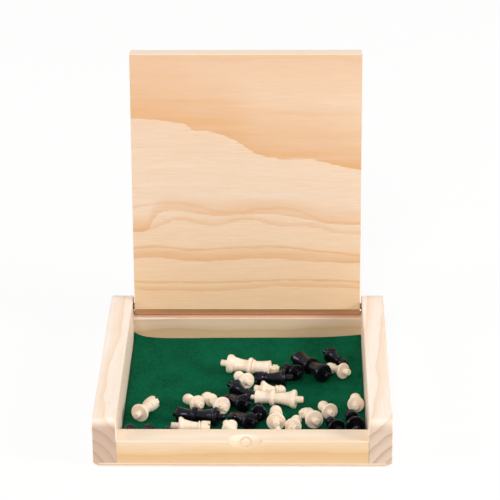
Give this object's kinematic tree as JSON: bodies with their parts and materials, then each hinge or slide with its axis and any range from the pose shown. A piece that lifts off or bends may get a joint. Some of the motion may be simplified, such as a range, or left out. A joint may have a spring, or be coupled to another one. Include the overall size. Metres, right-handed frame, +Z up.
{
  "type": "travel chess set",
  "caption": "Pine pocket chess set, a shallow box between tall cheeks whose pinned lid is the peg board, with a felt-lined tray that holds loose pegged men.",
  "frame": {"origin": "middle of the case's underside, on the surface that it stands on", "axes": "+Z up, +Y towards the hinge, +X to the right seen from the thumb scoop"},
  "size_m": [0.14, 0.1531, 0.1528],
  "materials": {
    "pine": "satin clear coat over bare pine",
    "board_wood": "satin clear coat, dark squares stained brown",
    "panel_wood": "bare plywood",
    "felt": "dark green felt",
    "steel": "plain bright wire",
    "ivory_plastic": "semi-gloss moulded",
    "black_plastic": "gloss moulded"
  },
  "bodies": {
    "case": {"bottom_panel": "panel_wood", "felt_lining": "felt", "front_rail": "pine", "hinge_pin_left": "steel", "hinge_pin_right": "steel", "left_cheek": "pine", "panel_tacks": "steel", "rail_nails": "steel", "rear_rail": "pine", "right_cheek": "pine"},
    "lid": {"lid_board": "board_wood"},
    "white_king": {"white_king": "ivory_plastic"},
    "white_queen": {"white_queen": "ivory_plastic"},
    "white_bishop_1": {"white_bishop_1": "ivory_plastic"},
    "white_bishop_2": {"white_bishop_2": "ivory_plastic"},
    "white_knight_1": {"white_knight_1": "ivory_plastic"},
    "white_knight_2": {"white_knight_2": "ivory_plastic"},
    "white_rook_1": {"white_rook_1": "ivory_plastic"},
    "white_rook_2": {"white_rook_2": "ivory_plastic"},
    "white_pawn_1": {"white_pawn_1": "ivory_plastic"},
    "white_pawn_2": {"white_pawn_2": "ivory_plastic"},
    "white_pawn_3": {"white_pawn_3": "ivory_plastic"},
    "white_pawn_4": {"white_pawn_4": "ivory_plastic"},
    "white_pawn_5": {"white_pawn_5": "ivory_plastic"},
    "white_pawn_6": {"white_pawn_6": "ivory_plastic"},
    "white_pawn_7": {"white_pawn_7": "ivory_plastic"},
    "white_pawn_8": {"white_pawn_8": "ivory_plastic"},
    "black_king": {"black_king": "black_plastic"},
    "black_queen": {"black_queen": "black_plastic"},
    "black_bishop_1": {"black_bishop_1": "black_plastic"},
    "black_bishop_2": {"black_bishop_2": "black_plastic"},
    "black_knight_1": {"black_knight_1": "black_plastic"},
    "black_knight_2": {"black_knight_2": "black_plastic"},
    "black_rook_1": {"black_rook_1": "black_plastic"},
    "black_rook_2": {"black_rook_2": "black_plastic"},
    "black_pawn_1": {"black_pawn_1": "black_plastic"},
    "black_pawn_2": {"black_pawn_2": "black_plastic"},
    "black_pawn_3": {"black_pawn_3": "black_plastic"},
    "black_pawn_4": {"black_pawn_4": "black_plastic"},
    "black_pawn_5": {"black_pawn_5": "black_plastic"},
    "black_pawn_6": {"black_pawn_6": "black_plastic"},
    "black_pawn_7": {"black_pawn_7": "black_plastic"},
    "black_pawn_8": {"black_pawn_8": "black_plastic"}
  },
  "joints": [
    {"name": "lid_hinge", "type": "hinge", "parent": "case", "child": "lid", "pos_m": [0, 0.065, 0.0185], "axis": [-1, 0, 0], "range_deg": [-95.7, 0]},
    {"name": "white_king_lift", "type": "slide", "parent": "case", "child": "white_king", "axis": [0, 0, 1], "range_m": [0, 0.03]},
    {"name": "white_queen_lift", "type": "slide", "parent": "case", "child": "white_queen", "axis": [0, 0, 1], "range_m": [0, 0.03]},
    {"name": "white_bishop_1_lift", "type": "slide", "parent": "case", "child": "white_bishop_1", "axis": [0, 0, 1], "range_m": [0, 0.03]},
    {"name": "white_bishop_2_lift", "type": "slide", "parent": "case", "child": "white_bishop_2", "axis": [0, 0, 1], "range_m": [0, 0.03]},
    {"name": "white_knight_1_lift", "type": "slide", "parent": "case", "child": "white_knight_1", "axis": [0, 0, 1], "range_m": [0, 0.03]},
    {"name": "white_knight_2_lift", "type": "slide", "parent": "case", "child": "white_knight_2", "axis": [0, 0, 1], "range_m": [0, 0.03]},
    {"name": "white_rook_1_lift", "type": "slide", "parent": "case", "child": "white_rook_1", "axis": [0, 0, 1], "range_m": [0, 0.03]},
    {"name": "white_rook_2_lift", "type": "slide", "parent": "case", "child": "white_rook_2", "axis": [0, 0, 1], "range_m": [0, 0.03]},
    {"name": "white_pawn_1_lift", "type": "slide", "parent": "case", "child": "white_pawn_1", "axis": [0, 0, 1], "range_m": [0, 0.03]},
    {"name": "white_pawn_2_lift", "type": "slide", "parent": "case", "child": "white_pawn_2", "axis": [0, 0, 1], "range_m": [0, 0.03]},
    {"name": "white_pawn_3_lift", "type": "slide", "parent": "case", "child": "white_pawn_3", "axis": [0, 0, 1], "range_m": [0, 0.03]},
    {"name": "white_pawn_4_lift", "type": "slide", "parent": "case", "child": "white_pawn_4", "axis": [0, 0, 1], "range_m": [0, 0.03]},
    {"name": "white_pawn_5_lift", "type": "slide", "parent": "case", "child": "white_pawn_5", "axis": [0, 0, 1], "range_m": [0, 0.03]},
    {"name": "white_pawn_6_lift", "type": "slide", "parent": "case", "child": "white_pawn_6", "axis": [0, 0, 1], "range_m": [0, 0.03]},
    {"name": "white_pawn_7_lift", "type": "slide", "parent": "case", "child": "white_pawn_7", "axis": [0, 0, 1], "range_m": [0, 0.03]},
    {"name": "white_pawn_8_lift", "type": "slide", "parent": "case", "child": "white_pawn_8", "axis": [0, 0, 1], "range_m": [0, 0.03]},
    {"name": "black_king_lift", "type": "slide", "parent": "case", "child": "black_king", "axis": [0, 0, 1], "range_m": [0, 0.03]},
    {"name": "black_queen_lift", "type": "slide", "parent": "case", "child": "black_queen", "axis": [0, 0, 1], "range_m": [0, 0.03]},
    {"name": "black_bishop_1_lift", "type": "slide", "parent": "case", "child": "black_bishop_1", "axis": [0, 0, 1], "range_m": [0, 0.03]},
    {"name": "black_bishop_2_lift", "type": "slide", "parent": "case", "child": "black_bishop_2", "axis": [0, 0, 1], "range_m": [0, 0.03]},
    {"name": "black_knight_1_lift", "type": "slide", "parent": "case", "child": "black_knight_1", "axis": [0, 0, 1], "range_m": [0, 0.03]},
    {"name": "black_knight_2_lift", "type": "slide", "parent": "case", "child": "black_knight_2", "axis": [0, 0, 1], "range_m": [0, 0.03]},
    {"name": "black_rook_1_lift", "type": "slide", "parent": "case", "child": "black_rook_1", "axis": [0, 0, 1], "range_m": [0, 0.03]},
    {"name": "black_rook_2_lift", "type": "slide", "parent": "case", "child": "black_rook_2", "axis": [0, 0, 1], "range_m": [0, 0.03]},
    {"name": "black_pawn_1_lift", "type": "slide", "parent": "case", "child": "black_pawn_1", "axis": [0, 0, 1], "range_m": [0, 0.03]},
    {"name": "black_pawn_2_lift", "type": "slide", "parent": "case", "child": "black_pawn_2", "axis": [0, 0, 1], "range_m": [0, 0.03]},
    {"name": "black_pawn_3_lift", "type": "slide", "parent": "case", "child": "black_pawn_3", "axis": [0, 0, 1], "range_m": [0, 0.03]},
    {"name": "black_pawn_4_lift", "type": "slide", "parent": "case", "child": "black_pawn_4", "axis": [0, 0, 1], "range_m": [0, 0.03]},
    {"name": "black_pawn_5_lift", "type": "slide", "parent": "case", "child": "black_pawn_5", "axis": [0, 0, 1], "range_m": [0, 0.03]},
    {"name": "black_pawn_6_lift", "type": "slide", "parent": "case", "child": "black_pawn_6", "axis": [0, 0, 1], "range_m": [0, 0.03]},
    {"name": "black_pawn_7_lift", "type": "slide", "parent": "case", "child": "black_pawn_7", "axis": [0, 0, 1], "range_m": [0, 0.03]},
    {"name": "black_pawn_8_lift", "type": "slide", "parent": "case", "child": "black_pawn_8", "axis": [0, 0, 1], "range_m": [0, 0.03]}
  ]
}
